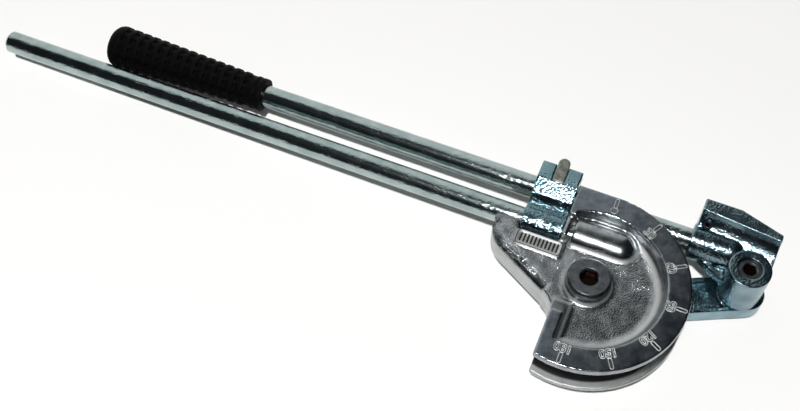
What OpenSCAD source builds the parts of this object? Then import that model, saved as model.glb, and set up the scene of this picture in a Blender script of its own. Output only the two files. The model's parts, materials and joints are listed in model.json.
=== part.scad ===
// Lever tube bender, folded for storage.
// The pivot axis of the former is the Z axis, X runs along the two handle rods,
// and Z = 0 is the surface that the tool lies on.

/* [Tube] */
// Outside diameter of the tube that is bent
tube_d = 15; // [12:0.5:18]
// Radius of the bend, to the middle of the tube
bend_r = 45; // [42:0.5:50]
// Radial room between the tube and its grooves
tube_room = 0.3; // [0.2:0.05:0.5]

/* [Former] */
// Thickness of the former between its two faces
former_t = 24; // [23:0.5:30]
// How far the flanges reach past the middle of the tube
flange_over = 4.5; // [3:0.5:5.5]
// Width of the flat band that carries the degree marks
band_w = 12; // [11:0.5:13]
// Depth of the recess below the band
recess_d = 7; // [5:0.5:8]
// Distance from the pivot axis to the recess wall behind the handle
chord_y = 31.5; // [30:0.5:34]
// Fillet at the foot of the recess wall
recess_fillet = 4.5; // [2:0.5:5]
// Distance from the pivot axis to the cut end of the rim
cut_x = 12.3; // [11.3:0.1:14]
// Thickness of the wall along the cut end
cut_wall = 6.5; // [5:0.5:7]
// Straight length of the flanges ahead of the zero mark
lead_l = 20.5; // [19:0.5:24]
// Thickness of the wall beside the hook
lead_wall = 3; // [2.5:0.5:4]
// Drop of that wall's top below the band
lead_drop = 2; // [1:0.5:3]
// Distance from the pivot axis to the far end of the shoulder
shoulder_l = 55; // [54:0.5:62]
// Corner radius of the shoulder
shoulder_r = 16; // [12:0.5:18]
// Slope of the flank wall against the handles
flank_angle = 29; // [27:0.5:32]
// Distance from the pivot axis to the flank wall
flank_off = 19; // [18:0.1:21]
// Width of the bevel along the flank
bevel_w = 6; // [4:0.5:7]
// Depth of the bevel along the flank
bevel_h = 3; // [2:0.5:4]
// Radius of the inner corner between flank and cut end
notch_r = 12; // [8:0.5:13]
// Chamfer round the foot of the former
foot_c = 1.8; // [1:0.2:2.4]
// Gap between that wall and the bulge over the handle socket
bulge_gap = 2; // [1:0.1:3]
// Wall around the handle socket
socket_wall = 4.5; // [3.5:0.1:5]
// Fillet at the foot of the bulge
bulge_fillet = 4; // [2:0.5:4.5]
// Radius of the hub at its top
hub_r = 11.2; // [11.1:0.1:12]
// Fillet at the hub's foot
hub_fillet = 2.4; // [1:0.2:3]
// Length of the raised size plate
plate_l = 24; // [16:0.5:24]
// Height of the raised size plate
plate_h = 9; // [7:0.5:10]
// Width of the plate's border
plate_border = 1.2; // [0.8:0.1:1.6]
// Corner radius of the plate
plate_corner = 2.2; // [1.8:0.1:3]
// How far the plate stands up
plate_rise = 1; // [0.8:0.1:1.6]

/* [Fixed handle] */
// Diameter of the fixed handle rod
handle_d = 12; // [11:0.5:13]
// Distance from the pivot axis to the handle's axis
handle_y = 26.4; // [25.4:0.1:28]
// Reach of the handle from the pivot axis to its free end
handle_reach = 349; // [250:1:450]
// How far the handle runs past the pivot axis in its socket
handle_seat = 11; // [8:0.5:13]
// Chamfer at the free end of the handle
handle_chamfer = 1.5; // [1:0.5:2]
// Diameter of the pin that locks the handle
lock_pin_d = 5; // [3:0.5:6]
// Radial room of pieces that are pressed together
press_room = 0.02; // [0.01:0.01:0.04]
// Radial room of pieces that turn on each other
run_room = 0.06; // [0.03:0.01:0.1]

/* [Hook] */
// Length of the hook along the handle
hook_l = 21.5; // [19:0.5:25]
// Side gap between the hook and the former
hook_gap = 0.3; // [0.2:0.05:0.6]
// Wall of the hook around the handle
barrel_wall = 2.3; // [2:0.1:3.5]
// Wall of the hook around the tube
saddle_wall = 3.8; // [3:0.1:5]
// Radial room between the hook and the tube
saddle_room = 0.7; // [0.5:0.1:1.2]
// Height of the web between the hook's barrel and its saddle
neck_rise = 6.6; // [5:0.2:7]
// Height of the hook's lip above the tube's axis
lip_rise = 4; // [3.5:0.5:4.5]
// Reach of the two ears past the tube's axis
ear_reach = 12.2; // [11:0.1:14]
// Drop of the ear tops towards their ends
ear_drop = 1.6; // [1:0.1:2.4]
// Width of the slot between the ears
slot_w = 6.4; // [4:0.2:7]
// Side gap of the tongue in the slot
tongue_gap = 0.15; // [0.05:0.05:0.3]
// Reach of the tongue past the ears
tongue_out = 4; // [2:0.5:6]
// Diameter of the tongue's cross pin
tongue_pin_d = 3.5; // [2.5:0.5:4]
// Lift of the hook in the folded tool, in degrees
hook_rest = 6; // [6:0.5:10]

/* [Link] */
// Width of the link bar
link_w = 20; // [19:0.5:22]
// Thickness of the link bar
link_t = 9; // [8.5:0.5:12]
// Radius of the link's end under the former
link_root_r = 14.5; // [14:0.5:17]
// How far the link runs on past the block's pivot
link_over = 3.5; // [1:0.5:5]
// Width of the raised lips along the link
link_lip = 2.6; // [2:0.1:4]
// Depth of the hollow between the lips
link_hollow = 1.6; // [1:0.1:2]
// Thickness of the washers above the link
washer_t = 0.5; // [0.3:0.1:1]
// Play on each face of a washer
face_play = 0.05; // [0.02:0.01:0.1]

/* [Pivot bolt] */
// Diameter of the bolt's shank
bolt_d = 12; // [10:0.5:12]
// Diameter of the bolt's head
bolt_head_d = 21.8; // [20:0.1:22]
// Thickness of the bolt's head
bolt_head_t = 2; // [1.5:0.5:3]
// How far the head stands above the band
bolt_proud = 0.5; // [0:0.5:2]
// Width of the hex socket across its flats
bolt_hex = 8; // [6:0.5:9]
// Depth of the hex socket
bolt_hex_depth = 4; // [2:0.5:4]
// Wall of the bush around the bolt
bush_wall = 1.6; // [1.2:0.1:2]
// Width of the pivot nut across its flats
nut_af = 18; // [17:0.5:19]
// Thickness of both nuts
nut_t = 3.8; // [3:0.1:4]
// Thickness of both disc springs
spring_t = 0.8; // [0.6:0.1:1]

/* [Block] */
// Distance from the block's pivot to the cheeks of the shoe
shoe_face = 28.9; // [28:0.1:31]
// Gap between the shoe's cheeks and the former's flanges
shoe_gap = 0.4; // [0.3:0.1:0.8]
// Distance from the block's pivot to the lever's axis
lever_offset = 12.25; // [11.75:0.25:14]
// Diameter of the pivot boss
boss_d = 21.2; // [20:0.2:23]
// Wall of the lever socket
lever_wall = 3; // [2.5:0.1:4]
// Reach of the lever socket from the block's pivot
lever_socket_l = 31; // [28:0.5:34]
// Distance from the block's pivot to the lever's end
lever_seat = 7.5; // [6:0.5:11]
// Reach of the shoe on the lever's side
shoe_left = 30; // [25:0.5:31]
// Reach of the shoe on the other side
shoe_right = 10.5; // [9:0.5:11]
// Where the relief of the shoe starts
relief_start = 12; // [9:0.5:13]
// Depth of the relief at the shoe's end
relief_depth = 7; // [6.5:0.1:8]
// Width of the shoe's flat top
shoe_top_w = 7; // [5:0.1:8]
// Radius of the hollow slope below the shoe's top
slope_r = 12; // [9:0.5:20]
// Tilt of the shoe's ridge against the lever, in degrees
ridge_tilt = 5.5; // [3:0.5:7]
// How far the shoe stands above the former
shoe_proud = 4; // [2:0.5:6]
// Thickness of the web beside the socket
web_t = 5.5; // [4:0.5:7]
// Width of the rib along the web
rib_w = 2.4; // [2:0.2:3.6]
// How far the rib stands above the web
rib_rise = 3; // [2:0.5:4]
// Diameter of the block's pivot screw
screw_d = 8; // [6:0.5:8]
// Diameter of the pivot screw's head
screw_head_d = 11.4; // [11:0.1:12]
// Thickness of the pivot screw's head
screw_head_t = 5; // [4:0.5:6]
// Depth of the pivot screw's head below the boss
screw_sunk = 1; // [0.5:0.5:2]
// Width of the pivot screw's hex socket across its flats
screw_hex = 6; // [5:0.5:7]
// Wall of the block's bush
block_bush_wall = 1.3; // [1:0.1:1.4]
// Width of the screw's nut across its flats
screw_nut_af = 13; // [12:0.5:14]
// Diameter of the spring pin that locks the lever
roll_pin_d = 4.4; // [3:0.2:5]
// Wall of the spring pin
roll_pin_wall = 0.9; // [0.6:0.1:1.1]

/* [Lever and grip] */
// Diameter of the lever rod
lever_d = 12; // [11:0.5:13]
// How far the folded lever lies outside the tube's centre line
lever_shift = 2; // [1:0.1:2.4]
// Reach of the lever from the pivot axis to its end in the grip
lever_reach = 287; // [200:1:400]
// Length of the grip
grip_l = 94.5; // [70:0.5:110]
// Diameter of the grip at its closed end
grip_d = 23.8; // [22:0.1:25]
// Diameter of the grip at its open end
grip_mouth_d = 18; // [16:0.5:20]
// Thickness of the grip's closed end
grip_end_t = 6; // [4:0.5:8]
// Number of ribs round the grip
grip_ribs = 14; // [8:1:18]
// Depth of the channels between the ribs
grip_channel = 1; // [0.6:0.1:1.6]

/* [Hidden] */
$fn = 96;
over = 1;

// Levels
link_top = link_t;
former_z = link_top + washer_t + 2 * face_play;
former_top = former_z + former_t;
floor_z = former_top - recess_d;
tube_z = former_z + former_t / 2;
hub_z = former_top + bolt_proud - bolt_head_t;

// Radii
groove_r = tube_d / 2 + tube_room;
flange_r = bend_r + flange_over;
lever_y = bend_r + lever_shift;
recess_r = flange_r - band_w;
bulge_r = handle_d / 2 + socket_wall;
lever_socket_r = lever_d / 2 + lever_wall;
barrel_r = handle_d / 2 + barrel_wall;
saddle_in_r = tube_d / 2 + saddle_room;
saddle_out_r = saddle_in_r + saddle_wall;
bush_r = bolt_d / 2 + run_room + bush_wall;
block_bush_r = screw_d / 2 + run_room + block_bush_wall;

// The block's pivot: its arm lets the shoe's cheeks clear the flanges, and its
// angle lays the lever in the tube's place when the tool is folded.
link_l = flange_r + shoe_gap + shoe_face;
link_angle = asin((lever_y - lever_offset) / link_l);
block_x = link_l * cos(link_angle);
block_y = link_l * sin(link_angle);
shoe_groove_y = link_l - bend_r;

// Outline of the shoulder
shoulder_x = shoulder_r - shoulder_l;
shoulder_y = (shoulder_r - flank_off - sin(flank_angle) * shoulder_x) / cos(flank_angle);
flank_n = [-sin(flank_angle), -cos(flank_angle)];
flank_start = [shoulder_x, shoulder_y] + shoulder_r * flank_n;
notch_y = (sin(flank_angle) * cut_x - flank_off) / cos(flank_angle);
notch_cx = -cut_x - notch_r;
notch_cy = (-sin(flank_angle) * notch_cx - flank_off - notch_r) / cos(flank_angle);
flank_end = [notch_cx, notch_cy] - notch_r * flank_n;
flank_l = norm(flank_end - flank_start);
// Points across the bevel, as shares of its width and its depth
bevel_curve = [[0, 1], [0.25, 0.5], [0.6, 0.14], [1, 0]];

cut_slope = 12;

// Hook and the bay that it turns in
hook_x1 = -lead_l - hook_gap;
hook_x0 = hook_x1 - hook_l;
bay_x0 = hook_x0 - hook_gap;
bay_y = handle_y - barrel_r - hook_gap;
ear_low = 2;
hook_span = bend_r - handle_y;
hook_mid_x = (hook_x0 + hook_x1) / 2;
neck_tilt = 0.8;
neck_near = sqrt(barrel_r ^ 2 - neck_rise ^ 2);
neck_far = hook_span - sqrt(saddle_out_r ^ 2 - (neck_rise + neck_tilt) ^ 2);
ear_sink = 0.4;
slot_v = hook_span + saddle_in_r / 4;
tongue_proud = 1;
tongue_pin_v = hook_span + (saddle_in_r + ear_reach) / 2 - 1;
tongue_pin_w = lip_rise + (saddle_out_r - ear_drop - lip_rise) / 2;

// Bolts and nuts
nut_room = 0.6;
spring_room = 0.3;
nut_bottom = 0.3;
nut_bore_r = nut_af / sqrt(3) + nut_room;
screw_nut_bore_r = screw_nut_af / sqrt(3) + nut_room;
nut_seat = nut_bottom + nut_t + spring_t + 2 * face_play;
boss_top = former_top;
screw_seat = boss_top - screw_sunk - screw_head_t;
lock_pin_x = -handle_seat / 2;
bulge_end = handle_seat - 2;
bulge_corner = 5;
socket_back = 3.5;
ridge_foot = 66;
web_in = 6;
roll_pin_in = 5.6;
roll_pin_drop = 2.6;
roll_pin_x = roll_pin_in - lever_socket_l;
roll_pin_y = lever_offset + lever_d / 2;
roll_pin_z = tube_z - lever_d / 2;
roll_pin_top = former_top - roll_pin_drop;
lever_end_x = block_x - lever_seat;

module rod(d, x0, x1, y, z, chamfer = 0) {
    translate([x0, y, z])
        rotate([0, 90, 0])
            rotate_extrude()
                polygon([
                    [0, 0], [d / 2 - chamfer, 0], [d / 2, chamfer],
                    [d / 2, x1 - x0], [0, x1 - x0]
                ]);
}

module bore_x(r, x0, x1, y, z) {
    translate([x0, y, z])
        rotate([0, 90, 0])
            cylinder(r = r, h = x1 - x0);
}

module ring(r_in, r_out, z, h) {
    translate([0, 0, z])
        difference() {
            cylinder(r = r_out, h = h);
            translate([0, 0, -over])
                cylinder(r = r_in, h = h + 2 * over);
        }
}

module hex_bore(af, z, h) {
    translate([0, 0, z])
        cylinder(d = af * 2 / sqrt(3), h = h, $fn = 6);
}

// Hex socket below a level, with a round lead-in
module hex_socket(af, top, depth) {
    lead = af / 8;
    hex_bore(af, top - depth, depth + over);
    translate([0, 0, top - lead])
        cylinder(d1 = af, d2 = af + 2 * lead + 2 * over, h = lead + over);
}

// A cone washer, flat on neither face
module disc_spring(r_in, r_out, z) {
    translate([0, 0, z])
        rotate_extrude()
            polygon([
                [r_in, spring_t / 2], [r_out, 0],
                [r_out, spring_t / 2], [r_in, spring_t]
            ]);
}

// Plan of the rim with its straight lead, up to the cut end
module rim_plan() {
    intersection() {
        circle(r = flange_r);
        translate([-cut_x, -flange_r])
            square([cut_x + flange_r, 2 * flange_r]);
    }
    translate([-lead_l, 0])
        square([lead_l, flange_r]);
}

// Plan of the shoulder that carries the size plate and the handle's ear
module shoulder_plan() {
    translate([shoulder_x, shoulder_y])
        circle(r = shoulder_r);
    polygon([
        flank_start, [-cut_x, notch_y], [-cut_x, handle_y],
        [shoulder_x, handle_y], [shoulder_x, shoulder_y]
    ]);
    translate([-shoulder_l, shoulder_y])
        square([shoulder_l + bay_x0, handle_y + barrel_r - ear_low - shoulder_y]);
    difference() {
        polygon([
            [-cut_x, notch_y], flank_end, [notch_cx, notch_cy], [-cut_x, notch_cy]
        ]);
        translate([notch_cx, notch_cy])
            circle(r = notch_r);
    }
}

// Sweeps a cut along the flank and round the shoulder; its section is measured
// from the wall inwards
module along_flank(section) {
    translate([flank_start[0], flank_start[1], 0])
        rotate([0, 0, -flank_angle])
            rotate([90, 0, 90])
                linear_extrude(flank_l - over)
                    polygon(section);
    translate([shoulder_x, shoulder_y, 0])
        rotate([0, 0, 180])
            rotate_extrude(angle = 90 - flank_angle)
                polygon([for (p = section) [shoulder_r - p[0], p[1]]]);
}

// Rounded bevel of the shoulder, steepest at the wall
module flank_bevel() {
    along_flank(concat(
        [[-over, floor_z + over], [-over, floor_z - bevel_h]],
        [for (p = bevel_curve) [p[0] * bevel_w, floor_z - p[1] * bevel_h]],
        [[bevel_w, floor_z + over]]
    ));
}

// Chamfer round the foot of the former
module foot_chamfer() {
    reach = foot_c + over;
    low = former_z - over;
    edge = [[flange_r - reach, low], [flange_r + over, low], [flange_r + over, former_z + reach]];
    along_flank([[reach, low], [-over, low], [-over, former_z + reach]]);
    round_the_rim()
        polygon(edge);
    along_the_lead()
        polygon(edge);
}

// Section of the recess towards a wall, with a fillet at the wall's foot
module recess_profile(from, reach) {
    translate([from, floor_z])
        square([reach - recess_fillet - from, recess_d + over]);
    translate([from, floor_z + recess_fillet])
        square([reach - from, recess_d + over - recess_fillet]);
    translate([reach - recess_fillet, floor_z + recess_fillet])
        circle(r = recess_fillet);
}

// The room in front of the straight wall behind the handle
module before_chord() {
    translate([-2 * flange_r, 0, 0])
        rotate([90, 0, 90])
            linear_extrude(4 * flange_r)
                recess_profile(-2 * flange_r, chord_y);
}

// Opening from x0 to the pivot, from the cut end to y1, between sloped ends
module passage(x0, y1) {
    translate([x0, 0, 0])
        rotate([90, 0, 90])
            linear_extrude(-x0)
                polygon([
                    [-cut_x, floor_z], [y1, floor_z], [y1 + recess_d / 2, former_top + over],
                    [-cut_x - cut_slope, former_top + over]
                ]);
}

// The round hollow inside the band, straight behind the handle and along the cut
// end, and open to the shoulder beside the hub
module recess() {
    intersection() {
        rotate_extrude()
            recess_profile(0, recess_r);
        before_chord();
        translate([0, -2 * flange_r, 0])
            rotate([90, 0, 180])
                linear_extrude(4 * flange_r)
                    recess_profile(-2 * flange_r, cut_x - cut_wall);
    }
    intersection() {
        passage(lead_wall - lead_l, flange_r);
        before_chord();
    }
    passage(-lead_l - over, bay_y);
    translate([-lead_l - over, 0, former_top - lead_drop])
        cube([lead_l, chord_y, lead_drop + over]);
}

// Sweeps a section round the rim, from the zero mark to the cut end
module round_the_rim() {
    intersection() {
        rotate_extrude()
            children();
        union() {
            translate([0, -2 * flange_r, 0])
                cube([2 * flange_r, 4 * flange_r, 2 * former_top]);
            translate([-2 * cut_x, -2 * flange_r, 0])
                cube([2 * cut_x + over, 2 * flange_r, 2 * former_top]);
        }
    }
}

// Sweeps a section along the straight lead
module along_the_lead() {
    translate([-lead_l - over, 0, 0])
        rotate([90, 0, 90])
            linear_extrude(lead_l + over)
                children();
}

module groove_profile() {
    translate([bend_r, tube_z])
        circle(r = groove_r);
    translate([bend_r, tube_z - groove_r])
        square([flange_over + over, 2 * groove_r]);
}

// The tube's groove
module groove() {
    round_the_rim()
        groove_profile();
    along_the_lead()
        groove_profile();
}

module rounded_plate(inset, rise) {
    far_x = plate_l - plate_corner;
    far_y = plate_h - plate_corner;
    translate([plate_corner, inset, 0])
        cube([far_x - plate_corner, plate_h - 2 * inset, rise]);
    translate([inset, plate_corner, 0])
        cube([plate_l - 2 * inset, far_y - plate_corner, rise]);
    for (x = [plate_corner, far_x], y = [plate_corner, far_y])
        translate([x, y, 0])
            cylinder(r = plate_corner - inset, h = rise);
}

module size_plate() {
    translate([lead_wall - lead_l - plate_l, bay_y - hook_gap - plate_h, floor_z])
        difference() {
            rounded_plate(0, plate_rise);
            translate([0, 0, plate_rise / 2])
                rounded_plate(plate_border, plate_rise);
        }
}

// A revolved body along X with a round end, from its flat end
module round_ended(r, straight) {
    rotate([0, 90, 0])
        rotate_extrude() {
            square([r, straight]);
            intersection() {
                translate([0, straight])
                    circle(r = r);
                square([r, straight + r]);
            }
        }
}

// Half-round bulge over the handle's socket, with a fillet at its foot
module handle_bulge() {
    bulge_x = lead_wall + bulge_gap - lead_l;
    straight = bulge_end - bulge_x;
    fillet_z = floor_z - tube_z + bulge_fillet;
    foot = sqrt((bulge_r + bulge_fillet) ^ 2 - fillet_z ^ 2);
    touch = tube_z + bulge_r * fillet_z / (bulge_r + bulge_fillet);
    intersection() {
        translate([bulge_x, handle_y, 0]) {
            translate([0, 0, tube_z])
                round_ended(bulge_r, straight);
            for (side = [0, 1])
                rotate([90, 0, 90])
                    linear_extrude(straight)
                        mirror([side, 0])
                            bulge_foot(foot, touch);
            translate([straight, 0, 0])
                rotate_extrude()
                    bulge_foot(foot, touch);
        }
        translate([bulge_x, handle_y, floor_z - over]) {
            translate([bulge_corner, -2 * foot, 0])
                cube([2 * flange_r, 4 * foot, recess_d]);
            translate([0, bulge_corner - foot, 0])
                cube([2 * flange_r, 2 * (foot - bulge_corner), recess_d]);
            for (y = [bulge_corner - foot, foot - bulge_corner])
                translate([bulge_corner, y, 0])
                    cylinder(r = bulge_corner, h = recess_d);
        }
    }
}

module bulge_foot(foot, touch) {
    difference() {
        translate([0, floor_z - over])
            square([foot, touch - floor_z + over]);
        translate([foot, floor_z + bulge_fillet])
            circle(r = bulge_fillet);
    }
}

// Hub around the pivot, with a fillet at its foot
module hub() {
    translate([0, 0, floor_z]) {
        cylinder(r = hub_r, h = hub_z - face_play - floor_z);
        rotate_extrude()
            difference() {
                translate([bush_r + over, -over])
                    square([hub_r + hub_fillet - bush_r - over, hub_fillet + over]);
                translate([hub_r + hub_fillet, hub_fillet])
                    circle(r = hub_fillet);
            }
    }
}

module former() {
    color("silver")
        difference() {
            union() {
                difference() {
                    translate([0, 0, former_z])
                        linear_extrude(floor_z - former_z) {
                            rim_plan();
                            shoulder_plan();
                        }
                    flank_bevel();
                }
                difference() {
                    translate([0, 0, former_z])
                        linear_extrude(former_t)
                            rim_plan();
                    recess();
                }
                hub();
                handle_bulge();
                size_plate();
            }
            groove();
            foot_chamfer();
            translate([bay_x0, bay_y, former_z - over])
                cube([-lead_l - bay_x0, flange_r, former_t + 2 * over]);
            translate([-shoulder_l - over, handle_y, tube_z - over])
                cube([shoulder_l + bay_x0 + 2 * over, 2 * barrel_r, former_t]);
            bore_x(handle_d / 2 + press_room, -shoulder_l - over, handle_seat, handle_y, tube_z);
            translate([0, 0, former_z - over])
                cylinder(r = bush_r + press_room, h = former_t + 2 * over);
            translate([lock_pin_x, handle_y, former_z - over])
                cylinder(d = lock_pin_d + 2 * press_room, h = former_t / 2);
        }
}

module fixed_handle() {
    color("lightsteelblue")
        difference() {
            rod(handle_d, -handle_reach, handle_seat - hook_gap, handle_y, tube_z, handle_chamfer);
            translate([lock_pin_x, handle_y, former_z])
                cylinder(d = lock_pin_d + 2 * press_room, h = former_t / 2);
        }
}

module handle_lock_pin() {
    color("dimgray")
        translate([lock_pin_x, handle_y, former_z + hook_gap])
            cylinder(d = lock_pin_d, h = former_t / 2 - 2 * hook_gap);
}

module pivot_bush() {
    color("darkgoldenrod")
        ring(bolt_d / 2 + run_room, bush_r, former_z, hub_z - former_z - face_play);
}

module pivot_bolt() {
    color("slategray")
        difference() {
            union() {
                translate([0, 0, nut_bottom])
                    cylinder(d = bolt_d, h = hub_z - nut_bottom);
                translate([0, 0, hub_z])
                    cylinder(d = bolt_head_d, h = bolt_head_t - over);
                translate([0, 0, hub_z + bolt_head_t - over])
                    cylinder(d1 = bolt_head_d, d2 = bolt_head_d - 2 * over, h = over);
            }
            hex_socket(bolt_hex, hub_z + bolt_head_t, bolt_hex_depth);
        }
}

module pivot_washer() {
    color("goldenrod")
        ring(bush_r, link_root_r - over, link_top + face_play, washer_t);
}

module pivot_disc_spring() {
    color("gray")
        disc_spring(bolt_d / 2 + run_room, nut_bore_r - spring_room, nut_bottom + nut_t + face_play);
}

module hex_nut(af, d, z) {
    difference() {
        hex_bore(af, z, nut_t);
        translate([0, 0, z - over])
            cylinder(d = d, h = nut_t + 2 * over);
    }
}

module pivot_nut() {
    color("lightslategray")
        hex_nut(nut_af, bolt_d + 2 * press_room, nut_bottom);
}

module at_block() {
    translate([block_x, block_y, 0])
        children();
}

module link() {
    color("steelblue")
        rotate([0, 0, link_angle])
            difference() {
                linear_extrude(link_t) {
                    circle(r = link_root_r);
                    translate([0, -link_w / 2])
                        square([link_l + link_over, link_w]);
                    translate([link_l + link_over, 0])
                        circle(d = link_w);
                }
                difference() {
                    translate([link_root_r + link_lip, link_lip - link_w / 2, link_t - link_hollow])
                        cube([link_l - link_root_r, link_w - 2 * link_lip, link_hollow + over]);
                    translate([link_l, 0, 0])
                        cylinder(r = boss_d / 2 - over, h = 2 * link_t);
                    translate([link_l, -link_w, 0])
                        cube([link_l, 2 * link_w, 2 * link_t]);
                }
                translate([0, 0, -over])
                    cylinder(d = bolt_d + 2 * press_room, h = link_t + 2 * over);
                translate([0, 0, -over])
                    cylinder(r = nut_bore_r, h = nut_seat + over);
                translate([link_l, 0, -over])
                    cylinder(d = screw_d + 2 * press_room, h = link_t + 2 * over);
                translate([link_l, 0, -over])
                    cylinder(r = screw_nut_bore_r, h = nut_seat + over);
            }
}

module block_screw() {
    color("slategray")
        at_block()
            difference() {
                union() {
                    translate([0, 0, nut_bottom])
                        cylinder(d = screw_d, h = screw_seat - nut_bottom);
                    translate([0, 0, screw_seat])
                        cylinder(d = screw_head_d, h = screw_head_t);
                }
                hex_socket(screw_hex, screw_seat + screw_head_t, screw_head_t / 2);
            }
}

module block_washer() {
    color("goldenrod")
        at_block()
            ring(block_bush_r, boss_d / 2 - over, link_top + face_play, washer_t);
}

module block_disc_spring() {
    spring_z = nut_bottom + nut_t + face_play;
    color("gray")
        at_block()
            disc_spring(screw_d / 2 + run_room, screw_nut_bore_r - spring_room, spring_z);
}

module block_nut() {
    color("lightslategray")
        at_block()
            hex_nut(screw_nut_af, screw_d + 2 * press_room, nut_bottom);
}

module block_bush() {
    color("darkgoldenrod")
        at_block()
            ring(screw_d / 2 + run_room, block_bush_r, former_z, screw_seat - former_z - face_play);
}

// Plan of the shoe, with the relief that lets its tail swing past the flanges
module shoe_plan() {
    polygon([
        [-shoe_left, lever_offset], [0, 0], [shoe_right, 0],
        [shoe_right, shoe_face - relief_depth], [-relief_start, shoe_face],
        [-shoe_left, shoe_face]
    ]);
}

// Ridge of the shoe: a flat top and a hollow slope down to the lever socket
module shoe_ridge() {
    ridge_l = shoe_left + shoe_right + 2 * bevel_w;
    ridge_y = shoe_face - shoe_top_w;
    ridge_top = former_top + shoe_proud;
    edge = [ridge_y, ridge_top];
    foot = [lever_offset, tube_z] + lever_socket_r * [cos(ridge_foot), sin(ridge_foot)];
    half = norm(edge - foot) / 2;
    along = (edge - foot) / (2 * half);
    translate([-shoe_left, 0, 0])
        rotate([0, 0, -ridge_tilt])
            translate([-bevel_w, 0, 0])
                rotate([90, 0, 90])
                    linear_extrude(ridge_l)
                        difference() {
                            polygon([
                                [0, former_z + over], [2 * shoe_face, former_z + over],
                                [2 * shoe_face, ridge_top], edge, foot, [0, tube_z]
                            ]);
                            translate((edge + foot) / 2)
                                translate(sqrt(slope_r ^ 2 - half ^ 2) * [-along[1], along[0]])
                                    circle(r = slope_r);
                        }
}

module shoe_block() {
    web_start = [web_in - lever_socket_l, lever_offset - lever_socket_r + over];
    web_near = [0, over - boss_d / 2];
    web_run = (web_near - web_start) / norm(web_near - web_start);
    web_side = [-web_run[1], web_run[0]];
    color("cadetblue")
        at_block()
            difference() {
                union() {
                    translate([0, 0, former_z])
                        cylinder(d = boss_d, h = boss_top - former_z);
                    translate([-lever_socket_l, lever_offset, tube_z])
                        round_ended(lever_socket_r, lever_socket_l - lever_seat - socket_back);
                    intersection() {
                        linear_extrude(former_top + 2 * shoe_proud)
                            shoe_plan();
                        shoe_ridge();
                    }
                    translate([0, 0, tube_z - web_t])
                        linear_extrude(web_t - rib_rise)
                            polygon([
                                web_near, [boss_d / 2 - over, 0],
                                [shoe_right, lever_offset], [shoe_right, shoe_face - relief_depth - over],
                                [-shoe_left + over, lever_offset], web_start
                            ]);
                    translate([0, 0, tube_z - web_t])
                        linear_extrude(web_t)
                            polygon([
                                web_start, web_near, web_near + rib_w * web_side,
                                web_start + rib_w * web_side
                            ]);
                }
                bore_x(
                    lever_d / 2 + press_room, -lever_socket_l - over, -lever_seat,
                    lever_offset, tube_z
                );
                bore_x(groove_r, -shoe_left - over, shoe_right + over, shoe_groove_y, tube_z);
                translate([0, 0, former_z - over])
                    cylinder(r = block_bush_r + press_room, h = former_t + 2 * over);
                translate([0, 0, screw_seat - face_play])
                    cylinder(d = screw_head_d + 2 * run_room, h = former_t);
                roll_pin_bore();
            }
}

// Upright hole past the side of the lever, from the block's pivot
module roll_pin_bore() {
    translate([roll_pin_x, roll_pin_y, roll_pin_z])
        cylinder(d = roll_pin_d + 2 * press_room, h = 2 * former_t);
}

module lever_rod() {
    color("lightsteelblue")
        difference() {
            rod(lever_d, -lever_reach, lever_end_x - hook_gap, lever_y, tube_z, over);
            at_block()
                roll_pin_bore();
        }
}

// Slit spring pin in that hole
module lever_roll_pin() {
    pin_l = roll_pin_top - roll_pin_z - hook_gap;
    slit = roll_pin_wall;
    color("dimgray")
        at_block()
            translate([roll_pin_x, roll_pin_y, 0])
                difference() {
                    ring(roll_pin_d / 2 - roll_pin_wall, roll_pin_d / 2, roll_pin_z + hook_gap, pin_l);
                    translate([0, -slit / 2, roll_pin_z])
                        cube([roll_pin_d, slit, 2 * pin_l]);
                }
}

// Rubber grip: a taper with ribs, closed and rounded at its free end
module grip() {
    nose = grip_d / 4;
    nose_r = grip_d / 2 - grip_channel;
    body_l = grip_l - nose;
    pitch = body_l / grip_ribs;
    slope = (grip_mouth_d - grip_d) / 2 / body_l;
    // One rib: shares of the pitch, and of the channel's depth
    rib = [[0.08, 0], [0.62, 0], [0.72, 1], [0.98, 1]];
    color("black")
        translate([-lever_reach - grip_end_t, lever_y, tube_z])
            rotate([0, 90, 0])
                difference() {
                    rotate_extrude()
                        polygon(concat(
                            [[0, 0]],
                            [
                                for (a = [0 : 30 : 90])
                                    [nose_r - nose + nose * sin(a), nose - nose * cos(a)]
                            ],
                            [
                                for (i = [0 : grip_ribs - 1], p = rib)
                                    [
                                        grip_d / 2 + slope * (i + p[0]) * pitch - p[1] * grip_channel,
                                        nose + (i + p[0]) * pitch
                                    ]
                            ],
                            [[grip_mouth_d / 2, grip_l], [0, grip_l]]
                        ));
                    translate([0, 0, grip_end_t - hook_gap])
                        cylinder(d = lever_d + 2 * press_room, h = grip_l);
                }
}

// The saddle over the tube, open below the lip
module saddle_profile() {
    difference() {
        translate([hook_span, 0])
            circle(r = saddle_out_r);
        translate([hook_span - 2 * saddle_out_r, -2 * saddle_out_r - over])
            square([2 * saddle_out_r + over, 2 * saddle_out_r]);
        translate([hook_span, -2 * saddle_out_r + lip_rise])
            square([2 * saddle_out_r, 2 * saddle_out_r]);
    }
}

// The flat-topped ears past the saddle
module ear_profile() {
    difference() {
        polygon([
            [hook_span + over, lip_rise], [hook_span + over, saddle_out_r - ear_sink],
            [hook_span + ear_reach, saddle_out_r - ear_drop], [hook_span + ear_reach, lip_rise]
        ]);
        translate([hook_span, 0])
            circle(r = saddle_in_r);
    }
}

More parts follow.
